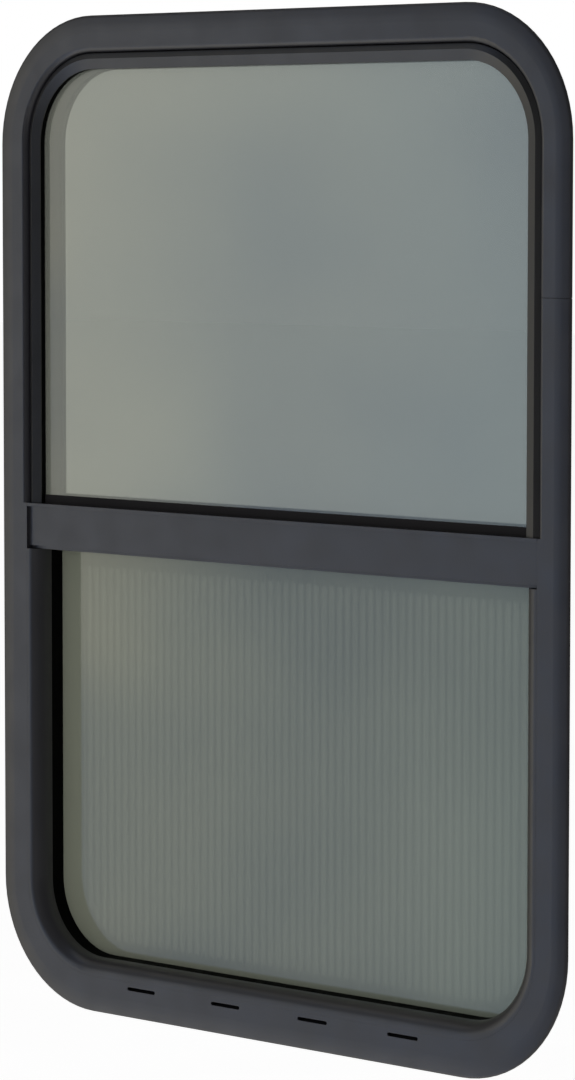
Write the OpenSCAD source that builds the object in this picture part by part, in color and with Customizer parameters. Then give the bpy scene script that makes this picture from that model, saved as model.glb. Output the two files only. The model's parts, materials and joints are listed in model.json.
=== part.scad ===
// Vertical sliding caravan window: a bent aluminium frame with a fixed upper pane,
// a sliding lower pane behind it and an insect screen on the inside.
//
// Everything is drawn in a front view first: X to the right, Y up, Z out towards the viewer,
// origin at the middle of the window on the plane of the flange face.
// A section is drawn as inset (from the outer edge of the flange) and depth (behind its face).

/* [Frame] */
// Width over the flange
frame_w = 562; // [480:1:900]
// Height over the flange
frame_h = 760; // [600:1:1100]
// Radius of the outer corners
corner_r = 96.4; // [80:0.2:140]
// Depth of the flange's turned edge
flange_edge = 4; // [3.4:0.1:4.6]
// Thickness of the flange plate
flange_t = 2.2; // [2.1:0.1:2.4]
// Rounding of the flange's outer edge
edge_round = 2.6; // [2:0.1:2.8]
// Rounding of the flange's inner edge round the upper pane
inner_round = 4.1; // [3:0.1:4.4]
// Wall thickness of the extruded frame
web_t = 1.4; // [1.2:0.1:1.5]
// Inset of the flange's inner edge
flange_inset = 27.6; // [27.2:0.1:27.8]
// Inset of the frame's inner wall
inner_inset = 40.2; // [40:0.1:41]
// Inset of the part that stands in the wall's cut-out
barrel_inset = 19.2; // [18.6:0.1:19.6]
// Depth of the whole frame
frame_depth = 32; // [31.8:0.1:34]
// Height of the butt joint above the middle of the window
joint_y = 175; // [100:1:200]
// Width of the butt joint's hairline
joint_gap = 0.3; // [0.2:0.05:0.5]

/* [Wall seal] */
// Inset of the seal's outer edge
seal_inset = 3.2; // [2.6:0.1:6]
// Width of the seal
seal_w = 14; // [10:0.5:14.5]
// How far the seal stands out behind the flange's turned edge
seal_proud = 1; // [0.5:0.1:3]

/* [Drainage] */
// Number of weep slots in the bottom flange
weep_count = 4; // [2:1:5]
// Distance between the middles of two weep slots
weep_pitch = 87.5; // [60:0.5:90]
// Length of a weep slot
weep_len = 29; // [12:1:40]
// Height of a weep slot
weep_h = 2.7; // [2:0.1:3]
// Inset of the weep slots' centre line
weep_inset = 22.6; // [22.4:0.1:22.8]

/* [Glass] */
// Thickness of both panes
glass_t = 3.2; // [3:0.1:3.4]
// Depth of the upper pane's front
upper_glass_depth = 8.6; // [8.3:0.1:8.8]
// Depth of the sliding pane's front
sash_glass_depth = 26; // [25.8:0.1:26.2]
// Thickness of the glazing tape behind the upper pane
tape_t = 1.5; // [1.4:0.1:2]
// Inset of the upper pane's edge
upper_glass_inset = 28.2; // [27.8:0.1:28.6]
// Inset of the sliding pane's edge
sash_glass_inset = 35; // [34.8:0.1:36]

/* [Upper bead] */
// Inset of the bead's outer edge
bead_inset = 29.5; // [29:0.1:30.5]
// Depth of the bead's outer edge
bead_edge_depth = 3.9; // [3.4:0.1:4.4]
// Inset of the bead's crest
bead_crest_inset = 32.5; // [31:0.1:34]
// Depth of the bead's crest
bead_top_depth = 1.5; // [1:0.1:2.4]
// Inset of the bead's inner lip
bead_lip_inset = 40.2; // [39:0.1:40.2]
// Depth of the bead's inner lip
bead_lip_depth = 3.5; // [3:0.1:3.9]
// Thickness of the bead at its inner lip
bead_lip_t = 0.6; // [0.4:0.1:0.8]
// Inset of the front gasket's tip on the pane
gasket_tip_inset = 40; // [39:0.1:40]

/* [Transom] */
// Height of the shelf's upper side above the middle of the window
shelf_y = 8.3; // [6:0.1:30]
// Thickness of the shelf
shelf_t = 2.6; // [2:0.1:3]
// Height of the transom below the shelf
transom_h = 32.7; // [28:0.1:40]
// Thickness of the lower lip
lower_lip_t = 2.5; // [2:0.1:3]
// Depth of the lower lip's front edge
lower_lip_depth = 5.6; // [4:0.1:8]
// How far the cover lies behind the flange face
cover_recess = 2.7; // [1:0.1:4]
// Thickness of the cover
cover_t = 1.6; // [1.2:0.1:2]
// Height of the sill gasket above the shelf
sill_h = 6.6; // [5:0.1:8]

/* [Lower trim] */
// Radius of the trim's round edge
trim_round = 10.3; // [8:0.1:11]
// Thickness of the trim's skin
trim_t = 1.6; // [1.2:0.1:2]

/* [Sliding sash] */
// How far the top rail stands above the shelf
rail_rise = 6.7; // [4:0.1:8]
// Height of the top rail
rail_h = 24; // [18:0.5:26]
// Thickness of the top rail's cheeks
rail_cheek = 1.2; // [1:0.1:1.4]
// Clearance between the rail and the frame at each end
rail_gap = 1.2; // [0.8:0.1:3]
// Distance of each latch's middle from the rail's end
latch_inset = 90; // [40:1:150]

/* [Insect screen] */
// Width of the screen frame's side bars
screen_side_w = 16.5; // [14:0.1:24]
// Height of the screen frame's bottom bar
screen_foot_h = 10.1; // [9.6:0.1:16]
// Height of the screen frame's top bar
screen_bar_h = 17.5; // [14:0.1:20]
// How far the screen frame reaches up behind the transom
screen_lap = 4; // [3:0.1:8]
// Thickness of the screen frame
screen_t = 5.2; // [4.5:0.1:7]
// Clearance between the screen frame and the window frame at the sides
screen_gap = 0.8; // [0.4:0.1:1.5]
// Thickness of the mesh
mesh_t = 0.5; // [0.4:0.1:0.8]

/* [Hidden] */
$fn = 96;
eps = 0.01;

half_w = frame_w / 2;
half_h = frame_h / 2;
mount_depth = flange_edge + seal_proud;
mount_inset = seal_inset + seal_w / 2;
flange_crown_w = 13;
flange_crown = 1.4;
crown_r = (pow(flange_crown_w, 2) + pow(flange_crown, 2)) / (2 * flange_crown);
edge_centre = [edge_round,
               crown_r - sqrt(pow(crown_r - edge_round, 2) - pow(flange_crown_w - edge_round, 2))];
edge_start = flange_crown_w - (flange_crown_w - edge_round) * crown_r / (crown_r - edge_round);
edge_wall = 2;

glass_seat = upper_glass_depth + glass_t + tape_t;
upper_glass_back = upper_glass_depth + glass_t;
sash_glass_back = sash_glass_depth + glass_t;
run_lip = 0.7;
track_front = sash_glass_depth - run_lip;
track_back = sash_glass_back + run_lip;
track_floor = sash_glass_inset - 1.4;
run_floor_t = 1.2;

screw_slot_inset = barrel_inset + 3.6;
screw_slot_w = 3.2;
screw_slot_depth = glass_seat + 4.6;

key_len = 70;
key_gap = 0.15;

drain_len = 18;
drain_h = 3;

tape_margin = 1.6;

shelf_under = shelf_y - shelf_t;
transom_bottom = shelf_under - transom_h;
lip_top = transom_bottom + lower_lip_t;
transom_half_w = half_w - flange_inset - 0.2;
web_half_w = half_w - inner_inset - 0.3;
web_front = glass_seat - 1.6;
web_back = glass_seat + 1.6;
meeting_flange_y = shelf_under - 2;
sill_t = 0.8;
gasket_w = 4;
groove_fill_t = 1.5;
gasket_front = bead_lip_depth + bead_lip_t;
setting_h = 1;

rail_front = sash_glass_depth - rail_cheek;
seal_land_depth = rail_front - 1.5;
rail_back = sash_glass_back + rail_cheek;
rail_half_w = half_w - inner_inset - rail_gap;
rail_cap = 4;
rail_top_y = shelf_y + rail_rise;
latch_x = rail_half_w - latch_inset;

trim_round_start = inner_inset - trim_round;
trim_foot_w = 7;
wiper_w = 4;
wiper_front = glass_seat + 0.9;

latch_w = 52;
latch_h = 15;
latch_y = rail_top_y - rail_h / 2 - 3;
latch_rise = 11;
grip_base_t = 3;

screen_front = sash_glass_back + 1.5;
screen_back = screen_front + screen_t;
screen_half_w = half_w - inner_inset - screen_gap;
screen_bottom = -(half_h - inner_inset);
screen_top = transom_bottom + screen_lap;
screen_open_r = corner_r - inner_inset - screen_foot_h;
mesh_depth = screen_front + 2.2;
spline_w = 3;
spline_offset = 2.7;
clip_w = 9;
clip_len = 24;
clip_t = 2;
clip_rib_h = 2.5;
clip_x = half_w - inner_inset + 6;
pull_w = 52;
pull_h = 13;
pull_rise = 6;

frame_black = [0.27, 0.28, 0.29];
rubber_black = [0.05, 0.05, 0.05];
glass_tint = [0.5, 0.55, 0.52, 0.6];

// Turns the front view into the part's own frame, with the origin on the mounting face
module stand_up()
    translate([0, -mount_depth, half_h - mount_inset])
        rotate([90, 0, 0])
            children();

// One straight stretch of a section, from the left end of a top run to its right
module run(length)
    rotate([180, 0, 0]) rotate([90, 0, 90])
        linear_extrude(length)
            children();

// A quarter turn of a section round the centre of the top right corner
module corner()
    rotate_extrude(angle = 90)
        translate([corner_r, 0]) rotate(180)
            children();

// The top run with its two corners and two legs that end at the height leg_end
module arch(leg_end) {
    translate([-(half_w - corner_r), half_h, 0])
        run(frame_w - 2 * corner_r) children();
    for (side = [0, 1])
        mirror([side, 0, 0]) {
            translate([half_w - corner_r, half_h - corner_r, 0])
                corner() children();
            if (leg_end < half_h - corner_r)
                translate([half_w, half_h - corner_r, 0])
                    rotate(-90) run(half_h - corner_r - leg_end) children();
        }
}

// The same turned over: the bottom run, its corners and legs up to the height leg_end
module cradle(leg_end)
    mirror([0, 1, 0])
        arch(-leg_end) children();

// A section swept round the whole window
module ring() {
    arch(0) children();
    cradle(0) children();
}

// Front view of the area inside an inset, with the window's round corners
module inside(inset) {
    r = corner_r - inset;
    x = half_w - inset;
    y = half_h - inset;
    square([2 * (x - r), 2 * y], center = true);
    square([2 * x, 2 * (y - r)], center = true);
    for (sx = [-1, 1], sy = [-1, 1])
        translate([sx * (x - r), sy * (y - r)]) circle(r);
}

// A flat plate of the area above or below a height, from one depth to another
module plate(inset, from_y, to_y, front, back)
    translate([0, 0, -back])
        linear_extrude(back - front)
            intersection() {
                inside(inset);
                translate([-half_w, from_y]) square([frame_w, to_y - from_y]);
            }

// A bar across the window: its section is drawn as depth and height
module bar(half_len)
    translate([half_len, 0, 0])
        rotate([0, -90, 0])
            linear_extrude(2 * half_len)
                mirror([1, 0, 0])
                    children();

// A rectangle in a section, from one inset and depth to another
module area(from, to)
    translate(from) square(to - from);

// A bar with round ends, in the front view
module capsule(length, height) {
    square([length - height, height], center = true);
    for (side = [-1, 1])
        translate([side * (length - height) / 2, 0]) circle(height / 2);
}

// Section of the bent frame, with its inner front edge rounded by a radius
module frame_section(inner_edge) {
    difference() {
        area([0, 0], [flange_inset, glass_seat + eps]);
        area([edge_wall, flange_t], [barrel_inset, flange_edge + eps]);
        area([-eps, flange_edge], [barrel_inset, glass_seat + 1]);
        difference() {
            area([barrel_inset + web_t, flange_t], [flange_inset - web_t, glass_seat - eps]);
            inner_edge_cut(inner_edge, inner_edge - web_t);
        }
        outer_edge_cut();
        inner_edge_cut(inner_edge, inner_edge);
    }
    difference() {
        area([barrel_inset, glass_seat], [inner_inset, frame_depth]);
        area([track_floor, track_front], [inner_inset + eps, track_back]);
        area([screw_slot_inset, screw_slot_depth], [screw_slot_inset + screw_slot_w, frame_depth + eps]);
    }
}

// The square at the flange's inner front edge, without a circle round the centre of its rounding
module inner_edge_cut(rounding, circle_r)
    if (rounding > 0)
        difference() {
            area([flange_inset - rounding, -eps], [flange_inset + eps, rounding]);
            translate([flange_inset - rounding, rounding]) circle(circle_r);
        }

// What is taken off the flange's outer edge: the gentle crown that runs out into the rounding
module outer_edge_cut()
    difference() {
        area([-eps, -eps], [flange_crown_w, edge_centre[1]]);
        intersection() {
            translate([flange_crown_w, crown_r]) circle(crown_r, $fn = 360);
            area([edge_start, 0], [flange_crown_w + eps, edge_centre[1] + eps]);
        }
        translate(edge_centre) circle(edge_round);
    }

// Long holes with round ends, in a row at one inset of the bottom run
module bottom_slots(inset, length, height, front, back)
    for (i = [0:weep_count - 1])
        translate([(i - (weep_count - 1) / 2) * weep_pitch, inset - half_h, -back])
            linear_extrude(back - front)
                capsule(length, height);

// Drain holes from the glazing channel down into the frame's hollow
module drain_holes()
    for (i = [0:weep_count - 1])
        translate([(i - (weep_count - 1) / 2) * weep_pitch - drain_len / 2,
                   flange_inset - web_t - half_h - eps, -glass_seat + eps])
            cube([drain_len, web_t + 2 * eps, drain_h]);

module outer_frame()
    color(frame_black)
        difference() {
            union() {
                arch(shelf_y) frame_section(inner_round);
                cradle(shelf_y) frame_section(0);
            }
            cradle(transom_bottom)
                area([inner_inset - wiper_w, wiper_front], [inner_inset + eps, track_front + eps]);
            bottom_slots(weep_inset, weep_len, weep_h, -1, flange_t + eps);
            drain_holes();
            translate([half_w - inner_inset - 1, joint_y, -frame_depth - 1])
                cube([inner_inset + 2, joint_gap, frame_depth + 2]);
        }

// Plate in the screw channel that ties the two ends of the bent frame together
module frame_joint_key()
    color(frame_black)
        translate([half_w - screw_slot_inset - screw_slot_w + key_gap,
                   joint_y - key_len / 2, -frame_depth + key_gap])
            cube([screw_slot_w - 2 * key_gap, key_len, frame_depth - screw_slot_depth - 2 * key_gap]);

module wall_seal()
    color(rubber_black)
        ring()
            area([seal_inset, flange_t], [seal_inset + seal_w, mount_depth]);

module glazing_tape()
    color(rubber_black) {
        arch(shelf_y + setting_h)
            area([upper_glass_inset + tape_margin, upper_glass_back],
                 [inner_inset - tape_margin, glass_seat]);
        translate([-web_half_w + tape_margin, shelf_y + setting_h, -glass_seat])
            cube([2 * (web_half_w - tape_margin), sill_h - 2, tape_t]);
    }

module upper_glass()
    color(glass_tint)
        plate(upper_glass_inset, shelf_y + setting_h, half_h, upper_glass_depth, upper_glass_back);

// Section of the bead: a steep flank up to the crest and a gentle slope down to the lip over the gasket
module bead_section()
    polygon([[bead_inset, upper_glass_depth], [bead_inset, bead_edge_depth],
             [bead_crest_inset, bead_top_depth], [bead_lip_inset, bead_lip_depth],
             [bead_lip_inset, gasket_front], [bead_lip_inset - gasket_w, gasket_front],
             [bead_lip_inset - gasket_w, upper_glass_depth]]);

// Section of the front gasket, with its lip that leans out over the pane
module gasket_section()
    polygon([[bead_lip_inset - gasket_w, gasket_front], [bead_lip_inset, gasket_front],
             [gasket_tip_inset, upper_glass_depth], [bead_lip_inset - gasket_w, upper_glass_depth]]);

module upper_bead()
    color(frame_black)
        arch(shelf_y)
            bead_section();

// Front gasket of the upper pane: a lip under the bead, a filler in the groove outside the bead,
// a strip on the shelf and the pane's setting strip
module sill_gasket()
    color(rubber_black) {
        arch(shelf_y) {
            gasket_section();
            area([flange_inset, upper_glass_depth - groove_fill_t], [bead_inset, upper_glass_depth]);
        }
        bar(half_w - gasket_tip_inset + eps)
            area([upper_glass_depth - sill_t, shelf_y], [upper_glass_depth, shelf_y + sill_h]);
        bar(half_w - inner_inset)
            area([upper_glass_depth, shelf_y], [upper_glass_back, shelf_y + setting_h]);
    }

// Mullion between the panes: the shelf, the web on the frame's seat and the lower lip
module transom_bar()
    color(frame_black) {
        bar(transom_half_w) {
            area([0, shelf_under], [glass_seat, shelf_y]);
            area([web_front, transom_bottom], [glass_seat, shelf_y]);
            area([lower_lip_depth, transom_bottom], [glass_seat, lip_top]);
        }
        bar(web_half_w) {
            area([glass_seat - eps, transom_bottom], [web_back, shelf_y + sill_h - 0.2]);
            area([glass_seat - eps, transom_bottom], [seal_land_depth, lip_top]);
            area([glass_seat - eps, meeting_flange_y], [seal_land_depth, shelf_under]);
        }
    }

module transom_cover()
    color(frame_black)
        bar(transom_half_w)
            difference() {
                area([cover_recess, lip_top], [web_front, shelf_under]);
                area([cover_recess + cover_t, lip_top + cover_t], [web_front + eps, shelf_under - cover_t]);
            }

// Brush strips between the transom and the sliding sash
module meeting_seal()
    color(rubber_black)
        bar(web_half_w) {
            area([seal_land_depth, meeting_flange_y], [rail_front, shelf_under]);
            area([seal_land_depth, transom_bottom], [sash_glass_depth, lip_top]);
        }

// Section of the snap-in trim round the lower pane: a skin with a round edge and a foot on the seat
module trim_section() {
    difference() {
        trim_outline(0);
        trim_outline(trim_t);
    }
    area([inner_inset - trim_foot_w, glass_seat - trim_t], [inner_inset, glass_seat]);
}

module trim_outline(skin) {
    area([flange_inset + skin, skin], [trim_round_start + eps, glass_seat + skin]);
    area([trim_round_start, trim_round], [inner_inset - skin, glass_seat + skin]);
    intersection() {
        translate([trim_round_start, trim_round]) circle(trim_round - skin);
        area([trim_round_start, 0], [inner_inset, trim_round + eps]);
    }
}

module lower_trim()
    color(frame_black)
        cradle(transom_bottom)
            trim_section();

// Wiper strip in the frame's inner wall, in front of the sliding pane's groove
module sash_wiper()
    color(rubber_black)
        cradle(transom_bottom)
            area([inner_inset - wiper_w, wiper_front], [inner_inset, track_front]);

module sash_glass()
    color(glass_tint)
        plate(sash_glass_inset, -half_h, rail_top_y - rail_cap, sash_glass_depth, sash_glass_back);

// Channel rail on the upper edge of the sliding pane
module sash_top_rail()
    color(frame_black)
        bar(rail_half_w)
            difference() {
                area([rail_front, rail_top_y - rail_h], [rail_back, rail_top_y]);
                area([sash_glass_depth, rail_top_y - rail_h - eps], [sash_glass_back, rail_top_y - rail_cap]);
            }

// Section of the lined groove that the sliding pane runs in
module run_section()
    difference() {
        area([track_floor, track_front], [inner_inset, track_back]);
        area([track_floor + run_floor_t, sash_glass_depth], [inner_inset + eps, sash_glass_back]);
    }

module sash_run_right()
    color(rubber_black)
        translate([half_w, half_h - corner_r, 0])
            rotate(-90) run(frame_h - 2 * corner_r) run_section();

module sash_run_left()
    mirror([1, 0, 0]) sash_run_right();

module sash_bottom_seal()
    color(rubber_black)
        cradle(-(half_h - corner_r))
            run_section();

// Finger grip that stands out into the room: a base plate and a raised rib with a hollow below
module finger_grip(length, height, rise)
    rotate([0, 180, 0]) {
        linear_extrude(grip_base_t)
            capsule(length, height);
        difference() {
            linear_extrude(grip_base_t + rise)
                capsule(length - 1.4 * height, 0.6 * height);
            translate([0, -0.5 * height, grip_base_t + 0.45 * rise])
                rotate([0, 90, 0])
                    cylinder(h = length, r = 0.45 * rise, center = true);
        }
    }

module sash_latch(x)
    color(rubber_black)
        translate([x, latch_y, -rail_back])
            finger_grip(latch_w, latch_h, latch_rise);

module sash_latch_left() sash_latch(-latch_x);

module sash_latch_right() sash_latch(latch_x);

// Front view of the opening in the screen frame: square above, round corners below
module screen_opening(margin) {
    x = screen_half_w - screen_side_w + margin;
    low = screen_bottom + screen_foot_h - margin;
    high = screen_top - screen_bar_h + margin;
    r = screen_open_r + margin;
    translate([-x, low + r]) square([2 * x, high - low - r]);
    translate([-x + r, low]) square([2 * (x - r), r + eps]);
    for (side = [-1, 1])
        translate([side * (x - r), low + r]) circle(r);
}

module screen_outline()
    intersection() {
        inside(inner_inset);
        translate([-screen_half_w, screen_bottom])
            square([2 * screen_half_w, screen_top - screen_bottom]);
    }

module screen_frame()
    color([0.38, 0.4, 0.38])
        difference() {
            translate([0, 0, -screen_back])
                linear_extrude(screen_t)
                    difference() {
                        screen_outline();
                        screen_opening(0);
                    }
            translate([0, 0, -screen_back - 1])
                linear_extrude(screen_back + 1 - mesh_depth)
                    screen_opening(spline_offset + spline_w);
        }

module screen_mesh()
    color([0.42, 0.44, 0.42])
        translate([0, 0, -mesh_depth - mesh_t])
            linear_extrude(mesh_t)
                screen_opening(spline_offset + spline_w);

// Cord that is pressed in over the edge of the mesh and holds it in the screen frame
module screen_spline()
    color(rubber_black)
        translate([0, 0, -screen_back])
            linear_extrude(screen_back - mesh_depth - mesh_t)
                difference() {
                    screen_opening(spline_offset + spline_w);
                    screen_opening(spline_offset);
                }

// Turn clip on the rear of the window frame: a post with a tongue that reaches over the screen frame
module turn_clip() {
    reach = (clip_len - clip_w) / 2;
    cylinder(h = screen_back - frame_depth, d = clip_w);
    translate([-reach, 0, -clip_t])
        linear_extrude(clip_t + eps)
            capsule(clip_len, clip_w);
    translate([-2 * reach - 1, -clip_w / 2 + 1.5, -clip_t - clip_rib_h])
        cube([2, clip_w - 3, clip_rib_h + eps]);
}

module screen_clips()
    color(rubber_black)
        for (side = [0, 1], y = [screen_top - 60, screen_bottom + corner_r])
            mirror([side, 0, 0])
                translate([clip_x, y, -screen_back]) turn_clip();

module screen_pull()
    color(rubber_black)
        translate([0, screen_top - screen_bar_h / 2, -screen_back])
            finger_grip(pull_w, pull_h, pull_rise);

stand_up() outer_frame();
stand_up() frame_joint_key();
stand_up() wall_seal();
stand_up() glazing_tape();
stand_up() upper_glass();
stand_up() upper_bead();
stand_up() sill_gasket();
stand_up() transom_bar();
stand_up() transom_cover();
stand_up() meeting_seal();
stand_up() lower_trim();
stand_up() sash_wiper();
stand_up() sash_glass();
stand_up() sash_top_rail();
stand_up() sash_run_left();
stand_up() sash_run_right();
stand_up() sash_bottom_seal();
stand_up() sash_latch_left();
stand_up() sash_latch_right();
stand_up() screen_frame();
stand_up() screen_mesh();
stand_up() screen_spline();
stand_up() screen_clips();
stand_up() screen_pull();
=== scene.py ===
"""Looks of the sliding caravan window: finishes, insect mesh, small screws, studio and camera. Metres."""
import json
import math

import bmesh
import bpy
from mathutils import Matrix, Vector


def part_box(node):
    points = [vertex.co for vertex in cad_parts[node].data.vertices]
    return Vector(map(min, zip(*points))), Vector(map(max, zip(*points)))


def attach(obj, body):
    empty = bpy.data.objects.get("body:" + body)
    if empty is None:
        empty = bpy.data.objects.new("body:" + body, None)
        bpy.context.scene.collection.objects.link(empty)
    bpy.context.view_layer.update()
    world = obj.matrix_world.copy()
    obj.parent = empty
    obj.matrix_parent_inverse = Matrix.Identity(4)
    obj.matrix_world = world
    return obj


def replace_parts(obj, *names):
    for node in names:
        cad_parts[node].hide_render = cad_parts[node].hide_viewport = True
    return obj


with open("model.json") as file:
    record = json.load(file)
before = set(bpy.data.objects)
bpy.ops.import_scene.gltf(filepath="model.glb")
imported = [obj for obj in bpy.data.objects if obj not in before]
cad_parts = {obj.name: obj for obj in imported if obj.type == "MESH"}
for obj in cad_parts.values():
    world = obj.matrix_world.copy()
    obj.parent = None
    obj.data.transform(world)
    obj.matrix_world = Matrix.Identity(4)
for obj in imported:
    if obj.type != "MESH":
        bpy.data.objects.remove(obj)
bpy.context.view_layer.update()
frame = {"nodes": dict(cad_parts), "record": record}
nodes = frame["nodes"]

MM = 0.001


def srgb(red, green, blue):
    """Linear colour of an 8-bit screen colour."""
    def linear(value):
        value /= 255
        return value / 12.92 if value <= 0.04045 else ((value + 0.055) / 1.055) ** 2.4
    return (linear(red), linear(green), linear(blue), 1.0)


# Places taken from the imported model
FLANGE_LOW, FLANGE_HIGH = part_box("outer_frame")
FACE_Y = FLANGE_LOW.y
CENTRE_Z = (FLANGE_LOW.z + FLANGE_HIGH.z) / 2
MIDDLE = Vector((0, FACE_Y, CENTRE_Z))
FLANGE_CORNER = 96.4 * MM
ROOM = Vector((0, 1, 0))

# Corners of sections that pieces of their own move, as the photograph shows them. In millimetres: inset from the
# flange's outline from and to, depth behind the face from and to, step inwards, step deeper, and share of depth kept.
REAR_BLOCK = (22.4, 26.5, 17, 33, 2.6, 0, 1)
RESHAPED = {
    "outer_frame": ("frame_aluminium", [
        (-0.5, 1.9, 1.0, 4.5, 0, 0, 0.65),
        (1.9, 2.4, 3.9, 4.5, 0, -1.0, 1),
        (18.7, 19.8, 31, 33, 4.8, 0, 1),
        (20.2, 21.1, 13, 13.6, 1.6, 0, 1),
        REAR_BLOCK]),
    "frame_joint_key": ("mill_aluminium", [REAR_BLOCK]),
    "upper_bead": ("bead", [
        (29.0, 29.9, 3.5, 4.5, -1.0, -0.4, 1),
        (29.0, 29.9, 8, 9, -1.0, 0, 1)]),
}

# Insect mesh: wires, and the upright bands in which the weave lies closer
WIRE = 0.4 * MM
WIRE_THICK = 0.24 * MM
WIRE_PITCH = 0.8 * MM
BAND_PITCH = 7.6 * MM
WEAVE_SHIFT = 0.58 * MM
WAVE_SCALE = 3.18  # Blender's wave texture at scale 1 has this many waves in a unit
SCREEN_CORNER = 51.8 * MM

# Screws: their sizes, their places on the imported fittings, and shares of the diameter
LATCH_SCREW_SIZE = 5.5 * MM
SMALL_SCREW_SIZE = 5 * MM
GRIP_BASE = 3 * MM
LATCH_SCREW = 20.6 * MM
PULL_SCREW = 21.3 * MM
CLIP_POST = 246.8 * MM
CLIP_TONGUE = 2 * MM
CLIP_BELOW_TOP = 60 * MM
CLIP_ABOVE_FOOT = 96.4 * MM
HEAD_EDGE = 0.16
HEAD_HALF = 0.2
CROSS_REACH = 0.34
CROSS_HALF = 0.22
CORE_RADIUS = 0.4
CORE_DEPTH = 0.08
RIM_POINTS = 28
SCREW_TURN = 0.7  # radians from one screw of a piece to the next

# Panes: share of clear glass, the rest being a milky veil, and colours at the left and right edge, the smoked tint
# with painted reflection that makes the left lighter and warmer and lays soft clouds over it
GLASS_IOR = 1.5
CLEAR_SHARE = 0.63
SASH_CLEAR_SHARE = 0.55
TINT_LIT_LEFT = srgb(158, 161, 149)
TINT_DIM_RIGHT = srgb(140, 148, 144)
SASH_TINT_LIT_LEFT = srgb(159, 163, 146)
SASH_TINT_DIM_RIGHT = srgb(144, 152, 139)
REFLECTION_CLOUD = 0.7
PANE_HALF = 0.24

# Camera fitted to the photograph: place from the middle of the window on the face, and angles
CAMERA_PLACE = Vector((2.1546, -2.3371, 0.2520))
CAMERA_YAW = math.radians(42.42)
CAMERA_PITCH = math.radians(-4.65)
CAMERA_ROLL = math.radians(0.043)
FOCAL_PIXELS = 4354
IMAGE_HEIGHT = 1080
SENSOR = 36

# Lamps and floor. With these values the floor in view is as white as the world behind it.
LAMP_WIDTH = 1.6
LAMP_HEIGHT = 2.4
LAMPS = {"key": ((0.5, -3.6, -0.2), 46), "room": ((-0.6, 3.6, 0.5), 45)}
SOFT_FILL = 0.5
FLOOR_DROP = 1.2
FLOOR_REACH = 40
FLOOR_BLOTCH = 0.4
FLOOR_GLOW = 0.55

# The room that reflections see: tones by degrees round it from straight out, shares by height from 0 below to 1 above
DARK = (0.012, 0.012, 0.014)
BLACK = (0.004, 0.004, 0.004)
REAR = (0.4, 0.4, 0.4)
OLIVE = (0.11, 0.105, 0.08)
WALL_STOPS = [
    (-180, REAR), (-165, REAR), (-150, BLACK), (-108, BLACK),
    (-88, (0.12, 0.12, 0.13)), (-62, (0.5, 0.5, 0.52)), (-50, (0.95, 0.95, 1.0)), (-40, (0.3, 0.48, 1.08)),
    (-31, (0.06, 0.11, 0.24)), (-24, DARK), (75, DARK),
    (110, OLIVE), (150, OLIVE), (165, REAR), (180, REAR)
]
HEIGHT_STOPS = [(0, 1), (0.56, 1), (0.69, 0.15), (0.73, 0.15), (0.8, 0.6), (1, 0.6)]
FLOOR_STOPS = [(0, 0.3), (0.27, 0.3), (0.38, 0), (1, 0)]
CLOUD_SIZE = 0.09
CLOUD_FROM = 0.35
CLOUD_TO = 0.65
CLOUD_COOL = (0.1, 0.32, 0.64, 1)
CLOUD_WARM = (2.25, 1.9, 1.15, 1)


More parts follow.
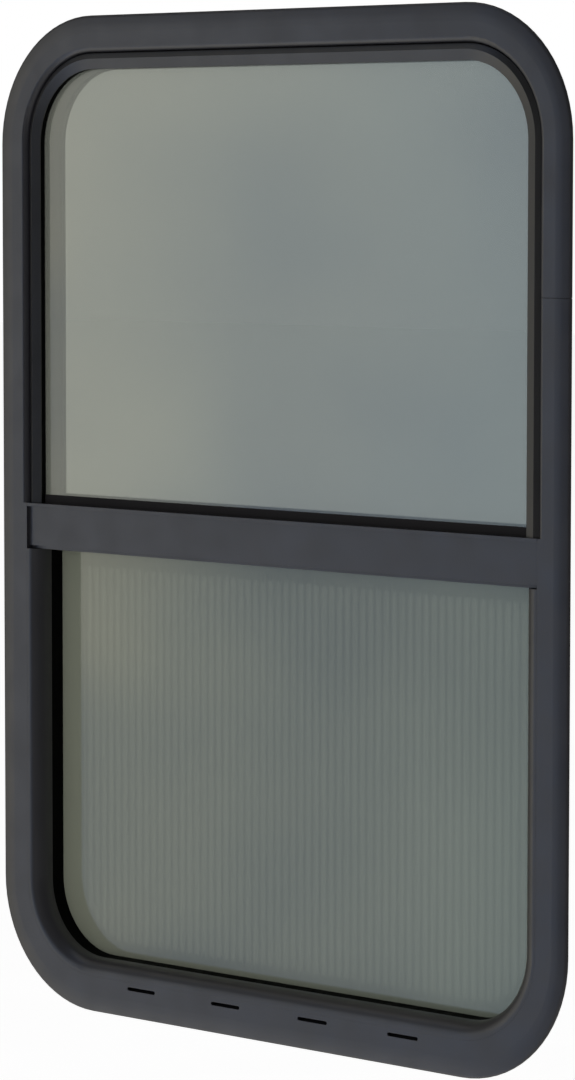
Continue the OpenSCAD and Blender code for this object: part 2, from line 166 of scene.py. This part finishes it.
class Shader:
    """A node material with short calls for the nodes that the finishes share."""

    def __init__(self, name, roughness=0.5, metallic=0.0, specular=0.5):
        self.material = bpy.data.materials.new(name)
        self.material.use_nodes = True
        self.tree = self.material.node_tree
        self.surface = self.tree.nodes["Principled BSDF"]
        self.set(Roughness=roughness, Metallic=metallic, Specular_IOR_Level=specular)
        self.place = self.tree.nodes.new("ShaderNodeTexCoord").outputs["Object"]

    @classmethod
    def of_tree(cls, tree):
        """The same short calls for a node tree that exists, such as the world's."""
        made = cls.__new__(cls)
        made.tree = tree
        return made

    def math(self, operation, first, second):
        """Result of a clamped sum, product and so on of two outputs or numbers."""
        made = self.node("ShaderNodeMath")
        made.operation = operation
        made.use_clamp = operation in ("ADD", "SUBTRACT")
        for socket, value in zip(made.inputs, (first, second)):
            if isinstance(value, float):
                socket.default_value = value
            else:
                self.link(value, socket)
        return made.outputs[0]

    def blend(self, operation, first, second):
        """Sum or product of two colours, or of a colour and a value."""
        made = self.node("ShaderNodeVectorMath")
        made.operation = operation
        self.link(first, made.inputs[0])
        self.link(second, made.inputs[1])
        return made.outputs["Vector"]

    def set(self, **values):
        """Constants of the surface's own sockets."""
        for socket, value in values.items():
            self.surface.inputs[socket.replace("_", " ")].default_value = value

    def node(self, kind, **values):
        """A new node with constants on its inputs."""
        made = self.tree.nodes.new(kind)
        for name, value in values.items():
            made.inputs[name].default_value = value
        return made

    def link(self, output, target):
        """Joins an output to an input."""
        self.tree.links.new(output, target)

    def axes(self, vector):
        """The three numbers of a vector, by the names X, Y and Z."""
        parts = self.node("ShaderNodeSeparateXYZ")
        self.link(vector, parts.inputs[0])
        return parts.outputs

    def stretched(self, scale):
        """The object's coordinates, scaled along each axis."""
        mapping = self.node("ShaderNodeMapping", Scale=scale)
        self.link(self.place, mapping.inputs["Vector"])
        return mapping.outputs["Vector"]

    def noise(self, size, detail=3.0, place=None):
        """Noise whose blotches are about size metres across."""
        made = self.node("ShaderNodeTexNoise", Scale=1 / size, Detail=detail)
        self.link(place or self.place, made.inputs["Vector"])
        return made.outputs["Fac"]

    def ramp(self, value, low, high, low_at=0.3, high_at=0.7):
        """A colour that runs from low to high with the value."""
        made = self.tree.nodes.new("ShaderNodeValToRGB")
        for stop, at, tone in zip(made.color_ramp.elements, (low_at, high_at), (low, high)):
            stop.position = at
            stop.color = tone
        self.link(value, made.inputs["Fac"])
        return made.outputs["Color"]

    def stops(self, value, stops):
        """A colour that runs through the stops, pairs of a place from 0 to 1 and a colour."""
        made = self.tree.nodes.new("ShaderNodeValToRGB")
        elements = made.color_ramp.elements
        for at, tone in stops:
            if at in (0, 1):
                stop = elements[-int(at)]
            else:
                stop = elements.new(at)
            stop.color = (*tone[:3], 1)
        self.link(value, made.inputs["Fac"])
        return made.outputs["Color"]

    def spread(self, value, low, high):
        """A noise value, which mostly runs from 0.3 to 0.7, moved to the range low to high."""
        made = self.node("ShaderNodeMapRange",
                         **{"From Min": 0.3, "From Max": 0.7, "To Min": low, "To Max": high})
        self.link(value, made.inputs["Value"])
        return made.outputs["Result"]

    def bump(self, *heights, edge=0.0):
        """Fine relief from pairs of a height output and its depth, over edges broken by a radius."""
        normal = None
        if edge:
            normal = self.node("ShaderNodeBevel", Radius=edge).outputs["Normal"]
        for height, depth in heights:
            made = self.node("ShaderNodeBump", Strength=1.0, Distance=depth)
            self.link(height, made.inputs["Height"])
            if normal:
                self.link(normal, made.inputs["Normal"])
            normal = made.outputs["Normal"]
        self.link(normal, self.surface.inputs["Normal"])

    def colour(self, output):
        """Takes the surface's colour from an output."""
        self.link(output, self.surface.inputs["Base Color"])

    def roughness(self, output):
        """Takes the surface's roughness from an output."""
        self.link(output, self.surface.inputs["Roughness"])


def satin_coat(name, low, high):
    """Satin powder coat: a fine pebbled skin, slightly cloudy in colour and gloss."""
    coat = Shader(name, specular=0.9)
    coat.colour(coat.ramp(coat.noise(90 * MM), low, high))
    coat.roughness(coat.spread(coat.noise(25 * MM), 0.32, 0.4))
    coat.bump((coat.noise(0.9 * MM, 2.0), 0.018 * MM), (coat.noise(14 * MM, 1.0), 0.04 * MM), edge=0.35 * MM)
    return coat.material


def rubber(name, low, high, front_lit):
    """Matt rubber, lighter and greyer where it faces outdoors to the front and darker on its sides: painted light,
    with a little random tone.
    """
    skin = Shader(name, specular=0.06)
    facing = skin.axes(skin.node("ShaderNodeNewGeometry").outputs["Normal"])
    facing_front = skin.math("MULTIPLY", facing["Y"], -1.0)
    facing_front = skin.math("ADD", facing_front, skin.math("MULTIPLY", skin.noise(30 * MM), 0.1))
    # Painted light: the colour follows how far the surface turns to the front, dark on the sides and lit grey on the
    # front.
    skin.colour(skin.stops(facing_front, [(0, low), (0.6, high), (0.9, front_lit), (1, front_lit)]))
    skin.roughness(skin.spread(skin.noise(8 * MM), 0.62, 0.8))
    skin.bump((skin.noise(1.2 * MM, 2.0), 0.03 * MM))
    return skin.material


def brush_pile(name):
    """Dense pile of a brush strip: fine hairs that stand out towards the pane."""
    pile = Shader(name, roughness=0.95, specular=0.05)
    pile.set(Sheen_Weight=0.3)
    hairs = pile.noise(1.0 * MM, 2.0, pile.stretched((3.0, 0.3, 3.0)))
    pile.colour(pile.ramp(hairs, srgb(8, 8, 9), srgb(34, 34, 36)))
    pile.bump((hairs, 0.2 * MM))
    return pile.material


def moulded_plastic(name):
    """Black moulded plastic with a fine spark-eroded grain."""
    plastic = Shader(name, specular=0.4)
    plastic.colour(plastic.ramp(plastic.noise(20 * MM), srgb(24, 24, 25), srgb(34, 34, 36)))
    plastic.roughness(plastic.spread(plastic.noise(3 * MM), 0.42, 0.56))
    plastic.bump((plastic.noise(0.6 * MM, 2.0), 0.04 * MM), edge=0.5 * MM)
    return plastic.material


def bare_metal(name, low, high):
    """Drawn bare metal with fine lines along the height."""
    metal = Shader(name, metallic=1.0)
    lines = metal.noise(0.8 * MM, 3.0, metal.stretched((1.0, 1.0, 0.04)))
    metal.colour(metal.ramp(lines, low, high))
    metal.roughness(metal.spread(lines, 0.28, 0.45))
    metal.bump((lines, 0.01 * MM))
    return metal.material


def tinted_glass(name, clear_share, left, right):
    """Smoked pane with a slight milky veil and a hardly visible roller wave; its colour carries painted reflection,
    lighter and warmer on the left, darker on the right and in soft clouds.
    """
    pane = Shader(name, roughness=0.0)
    pane.set(Transmission_Weight=clear_share, IOR=GLASS_IOR)
    across = pane.node("ShaderNodeMapRange", **{"From Min": -PANE_HALF, "From Max": PANE_HALF})
    pane.link(pane.axes(pane.place)["X"], across.inputs["Value"])
    # Painted reflection: the colour is clouded by noise and runs from the lighter left to the darker right.
    painted_cloud = pane.math("MULTIPLY", pane.noise(170 * MM, 1.0), REFLECTION_CLOUD)
    tone = pane.math("ADD", pane.math("SUBTRACT", painted_cloud, REFLECTION_CLOUD / 2), across.outputs["Result"])
    pane.colour(pane.ramp(tone, left, right, 0.0, 1.0))
    pane.bump((pane.noise(120 * MM, 0.0, pane.stretched((0.5, 1.0, 1.5))), 0.02 * MM))
    return pane.material


def woven_wire(name):
    """Coated wire of the insect mesh, in faint upright bands where the weave lies closer."""
    wire = Shader(name, roughness=0.5, specular=0.3)
    bands = wire.tree.nodes.new("ShaderNodeTexWave")
    bands.bands_direction = "X"
    bands.inputs["Scale"].default_value = 1 / (BAND_PITCH * WAVE_SCALE)
    wire.link(wire.place, bands.inputs["Vector"])
    wire.colour(wire.ramp(bands.outputs["Fac"], srgb(36, 40, 40), srgb(80, 84, 78), 0.1, 0.9))
    wire.bump((wire.noise(0.5 * MM, 1.0), 0.02 * MM))
    return wire.material


FINISHES = {
    "frame_aluminium": satin_coat("anthracite_coat", srgb(34, 34, 38), srgb(39, 39, 43)),
    "trim": satin_coat("trim_coat", srgb(33, 33, 36), srgb(38, 38, 41)),
    "bead": satin_coat("bead_coat", srgb(29, 29, 30), srgb(34, 34, 35)),
    "screen_frame": satin_coat("screen_coat", srgb(108, 114, 104), srgb(120, 126, 115)),
    "mill_aluminium": bare_metal("mill_metal", srgb(176, 178, 181), srgb(205, 207, 210)),
    # Rubber colours run from the sides to the front; the last one is painted light on the faces that turn to the
    # front.
    "rubber": rubber("black_rubber", srgb(4, 4, 4), srgb(8, 8, 7), srgb(9, 9, 8)),
    "sill_gasket": rubber("sill_rubber", srgb(4, 4, 4), srgb(9, 9, 8), srgb(32, 31, 32)),
    "brush": brush_pile("brush_pile"),
    "plastic": moulded_plastic("black_plastic"),
    "screw_steel": bare_metal("screw_steel", srgb(120, 121, 122), srgb(150, 151, 152)),
    # The panes' colours carry painted reflection, lighter on the left and clouded.
    "tinted_glass": tinted_glass("tinted_pane", CLEAR_SHARE, TINT_LIT_LEFT, TINT_DIM_RIGHT),
    "sash_glass": tinted_glass("sash_pane", SASH_CLEAR_SHARE, SASH_TINT_LIT_LEFT, SASH_TINT_DIM_RIGHT),
    "screen_mesh": woven_wire("woven_wire"),
}


def dress_nodes():
    """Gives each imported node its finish."""
    slots = {part["node"]: part["material_slot"] for part in frame["record"]["subparts"]}
    for name, piece in nodes.items():
        piece.data.materials.clear()
        piece.data.materials.append(FINISHES.get(name, FINISHES[slots[name]]))


def add_piece(name, data):
    """Makes an object of a mesh, takes it into the scene and lets it ride on the body."""
    piece = bpy.data.objects.new(name, data)
    bpy.context.scene.collection.objects.link(piece)
    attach(piece, "root")
    return piece


def new_piece(name, shape, finish):
    """Makes a piece of a bmesh, with its finish."""
    data = bpy.data.meshes.new(name)
    shape.to_mesh(data)
    shape.free()
    data.materials.append(FINISHES[finish])
    return add_piece(name, data)


def add_box(shape, low, high):
    """Adds a box between two corners to a bmesh."""
    size = high - low
    place = Matrix.Translation((low + high) / 2) @ Matrix.Diagonal((*size, 1))
    bmesh.ops.create_cube(shape, size=1, matrix=place)


def inset_of(side):
    """Distance of a point in the front view from the flange's outline, and the direction inwards."""
    reach = Vector((FLANGE_HIGH.x, (FLANGE_HIGH.z - FLANGE_LOW.z) / 2))
    sign = Vector((math.copysign(1, side.x), math.copysign(1, side.y)))
    away = Vector((abs(side.x) - reach.x + FLANGE_CORNER, abs(side.y) - reach.y + FLANGE_CORNER))
    if away.x > 0 and away.y > 0:
        return FLANGE_CORNER - away.length, Vector((-sign.x * away.x, -sign.y * away.y)) / away.length
    if away.x > away.y:
        return FLANGE_CORNER - away.x, Vector((-sign.x, 0))
    return FLANGE_CORNER - away.y, Vector((0, -sign.y))


def reshaped_nodes():
    """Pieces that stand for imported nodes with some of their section's corners moved."""
    for name, (slot, moves) in RESHAPED.items():
        data = nodes[name].data.copy()
        for vertex in data.vertices:
            inset, inward = inset_of(Vector((vertex.co.x, vertex.co.z - CENTRE_Z)))
            depth = vertex.co.y - FACE_Y
            for low, high, near, far, step, deeper, keep in moves:
                if low <= inset / MM <= high and near <= depth / MM <= far:
                    vertex.co.x += inward.x * step * MM
                    vertex.co.z += inward.y * step * MM
                    vertex.co.y = FACE_Y + (near + deeper) * MM + (depth - near * MM) * keep
        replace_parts(add_piece(name + "_reshaped", data), name)


def corner_rise(distance):
    """How far the mesh's rounded corner cuts in at a distance from the straight edge."""
    reach = max(0.0, SCREEN_CORNER - distance)
    return SCREEN_CORNER - math.sqrt(SCREEN_CORNER ** 2 - reach ** 2)


def insect_mesh():
    """Wires of the insect mesh, upright ones in front, ending inside the rebate of the screen frame."""
    shape = bmesh.new()
    low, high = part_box("screen_mesh")
    width = high.x - low.x
    height = high.z - low.z
    front = low.y
    upright = int(width / WIRE_PITCH)
    for i in range(1, upright):
        x = low.x + i * width / upright
        x -= WEAVE_SHIFT * math.sin(2 * math.pi * x / BAND_PITCH)
        foot = low.z + corner_rise(min(x - low.x, high.x - x))
        add_box(shape, Vector((x - WIRE / 2, front, foot)), Vector((x + WIRE / 2, front + WIRE_THICK, high.z)))
    level = int(height / WIRE_PITCH)
    for i in range(1, level):
        z = low.z + i * height / level
        side = corner_rise(z - low.z)
        add_box(shape, Vector((low.x + side, front + WIRE_THICK, z - WIRE / 2)),
                Vector((high.x - side, front + 2 * WIRE_THICK, z + WIRE / 2)))
    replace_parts(new_piece("insect_mesh_wires", shape, "screen_mesh"), "screen_mesh")


def circle_points(radius, count):
    """Points of a circle."""
    return [(radius * math.cos(2 * math.pi * i / count), radius * math.sin(2 * math.pi * i / count))
            for i in range(count)]


def cross_points(reach, half):
    """Corners of a cross recess that reaches so far, with arms of half that width each side."""
    return [(reach, half), (half, half), (half, reach), (-half, reach), (-half, half), (-reach, half),
            (-reach, -half), (-half, -half), (-half, -reach), (half, -reach), (half, -half), (reach, -half)]


def screw_head(diameter):
    """Mesh of a pan head with a cross recess, its axis along +Y and its seat at the origin."""
    outline = bpy.data.curves.new("screw_outline", "CURVE")
    outline.dimensions = "2D"
    outline.fill_mode = "BOTH"
    edge = HEAD_EDGE * diameter
    outline.extrude = HEAD_HALF * diameter - edge
    outline.bevel_depth = edge
    outline.bevel_resolution = 3
    rim = circle_points(diameter / 2 - edge, RIM_POINTS)
    for points in (rim, cross_points(CROSS_REACH * diameter, CROSS_HALF * diameter)):
        spline = outline.splines.new("POLY")
        spline.points.add(len(points) - 1)
        for point, place in zip(spline.points, points):
            point.co = (*place, 0, 1)
        spline.use_cyclic_u = True
    stand_in = bpy.data.objects.new("screw_stand_in", outline)
    bpy.context.scene.collection.objects.link(stand_in)
    data = bpy.data.meshes.new_from_object(stand_in.evaluated_get(bpy.context.evaluated_depsgraph_get()))
    bpy.data.objects.remove(stand_in)
    data.transform(Matrix.Rotation(-math.pi / 2, 4, "X") @ Matrix.Translation((0, 0, HEAD_HALF * diameter)))
    return data


def add_screws(name, places, diameter):
    """One piece with a screw head at each place on a room-side face."""
    shape = bmesh.new()
    head = screw_head(diameter)
    for turn, place in enumerate(places):
        data = head.copy()
        data.transform(Matrix.Translation(place) @ Matrix.Rotation(SCREW_TURN * turn, 4, "Y"))
        shape.from_mesh(data)
        core = Matrix.Translation(Vector(place) + CORE_DEPTH / 2 * diameter * ROOM)
        bmesh.ops.create_cone(shape, cap_ends=True, segments=24, radius1=CORE_RADIUS * diameter,
                              radius2=CORE_RADIUS * diameter, depth=CORE_DEPTH * diameter,
                              matrix=core @ Matrix.Rotation(math.pi / 2, 4, "X"))
    new_piece(name, shape, "screw_steel")


def screws():
    """Small screws of the room side: latches, screen clips and screen pull."""
    for side in ("left", "right"):
        low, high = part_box("sash_latch_" + side)
        middle = (low.x + high.x) / 2
        places = [(middle + step, low.y + GRIP_BASE, (low.z + high.z) / 2) for step in (-LATCH_SCREW, LATCH_SCREW)]
        add_screws("latch_screws_" + side, places, LATCH_SCREW_SIZE)
    low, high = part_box("screen_pull")
    places = [(step, low.y + GRIP_BASE, (low.z + high.z) / 2) for step in (-PULL_SCREW, PULL_SCREW)]
    add_screws("pull_screws", places, SMALL_SCREW_SIZE)
    low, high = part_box("screen_frame")
    places = [(side * CLIP_POST, high.y + CLIP_TONGUE, z) for side in (-1, 1)
              for z in (high.z - CLIP_BELOW_TOP, low.z + CLIP_ABOVE_FOOT)]
    add_screws("clip_screws", places, SMALL_SCREW_SIZE)


def mirrored_room(shader):
    """What reflections see: a cloudy bright wall on the left, dark in front and above, olive and grey behind."""
    direction = shader.tree.nodes.new("ShaderNodeTexCoord").outputs["Generated"]
    parts = shader.axes(direction)
    angle = shader.math("ARCTAN2", parts["X"], shader.math("MULTIPLY", parts["Y"], -1.0))
    around = shader.node("ShaderNodeMapRange", **{"From Min": -math.pi, "From Max": math.pi})
    shader.link(angle, around.inputs["Value"])
    walls = shader.stops(around.outputs["Result"], [((degrees + 180) / 360, tone) for degrees, tone in WALL_STOPS])
    level = shader.node("ShaderNodeMapRange", **{"From Min": -1.0, "From Max": 1.0})
    shader.link(parts["Z"], level.inputs["Value"])
    height, below = (shader.stops(level.outputs["Result"], [(at, (value,) * 3) for at, value in stops])
                     for stops in (HEIGHT_STOPS, FLOOR_STOPS))
    clouds = shader.ramp(shader.noise(CLOUD_SIZE, 2.0, direction), CLOUD_COOL, CLOUD_WARM, CLOUD_FROM, CLOUD_TO)
    cloudy = shader.blend("MULTIPLY", shader.blend("MULTIPLY", walls, height), clouds)
    return shader.blend("ADD", cloudy, below)


def studio_world():
    """White surround in view and behind glass, a room for reflections and a soft dim light on matt surfaces."""
    world = bpy.data.worlds.new("studio")
    bpy.context.scene.world = world
    world.use_nodes = True
    shader = Shader.of_tree(world.node_tree)
    background = shader.tree.nodes["Background"]
    path = shader.node("ShaderNodeLightPath").outputs
    seen = shader.math("ADD", path["Is Camera Ray"], path["Is Transmission Ray"])
    mirrored = shader.math("SUBTRACT", path["Is Glossy Ray"], seen)
    soft = shader.math("SUBTRACT", shader.math("SUBTRACT", 1.0, seen), mirrored)
    level = shader.math("ADD", seen, shader.math("MULTIPLY", soft, SOFT_FILL))
    room = shader.blend("MULTIPLY", mirrored_room(shader), mirrored)
    shader.link(shader.blend("ADD", level, room), background.inputs["Color"])
    background.inputs["Strength"].default_value = 1.0


def floor():
    """Plain pale floor, well below the window's sill height, which belongs to the studio and not to the object."""
    pale = Shader("pale_floor", roughness=0.9, specular=0.1)
    pale.colour(pale.ramp(pale.noise(FLOOR_BLOTCH), (0.86, 0.86, 0.86, 1), (0.88, 0.88, 0.88, 1)))
    path = pale.node("ShaderNodeLightPath").outputs
    seen = pale.math("ADD", path["Is Camera Ray"], path["Is Transmission Ray"])
    pale.set(Emission_Color=(1, 1, 1, 1))
    pale.link(pale.math("MULTIPLY", seen, FLOOR_GLOW), pale.surface.inputs["Emission Strength"])
    data = bpy.data.meshes.new("floor")
    corners = ((-1, -1), (1, -1), (1, 1), (-1, 1))
    data.from_pydata([(x * FLOOR_REACH, y * FLOOR_REACH, -FLOOR_DROP) for x, y in corners], [], [(0, 1, 2, 3)])
    data.materials.append(pale.material)
    plane = bpy.data.objects.new("floor", data)
    plane.visible_glossy = False
    bpy.context.scene.collection.objects.link(plane)


def soft_box(name, offset, power):
    """Large soft lamp, set off from the middle of the window and turned to it."""
    data = bpy.data.lights.new(name, "AREA")
    data.shape = "RECTANGLE"
    data.size = LAMP_WIDTH
    data.size_y = LAMP_HEIGHT
    data.energy = power
    lamp = bpy.data.objects.new(name, data)
    lamp.location = MIDDLE + Vector(offset)
    lamp.rotation_euler = (-Vector(offset)).to_track_quat("-Z", "Y").to_euler()
    lamp.visible_camera = False
    lamp.visible_glossy = False
    lamp.visible_transmission = False
    bpy.context.scene.collection.objects.link(lamp)


def camera():
    """Camera at the photograph's place, with its lens."""
    data = bpy.data.cameras.new("camera")
    data.sensor_width = SENSOR
    data.lens = SENSOR * FOCAL_PIXELS / IMAGE_HEIGHT
    data.clip_end = 100
    eye = bpy.data.objects.new("camera", data)
    eye.location = MIDDLE + CAMERA_PLACE
    turn = Matrix.Rotation(CAMERA_YAW, 4, "Z") @ Matrix.Rotation(math.pi / 2 + CAMERA_PITCH, 4, "X")
    eye.rotation_euler = (turn @ Matrix.Rotation(CAMERA_ROLL, 4, "Z")).to_euler()
    bpy.context.scene.collection.objects.link(eye)
    bpy.context.scene.camera = eye


dress_nodes()
reshaped_nodes()
insect_mesh()
screws()
studio_world()
floor()
for lamp_name, (lamp_offset, lamp_power) in LAMPS.items():
    soft_box(lamp_name, lamp_offset, lamp_power)
camera()
bpy.context.scene.view_settings.view_transform = "Standard"
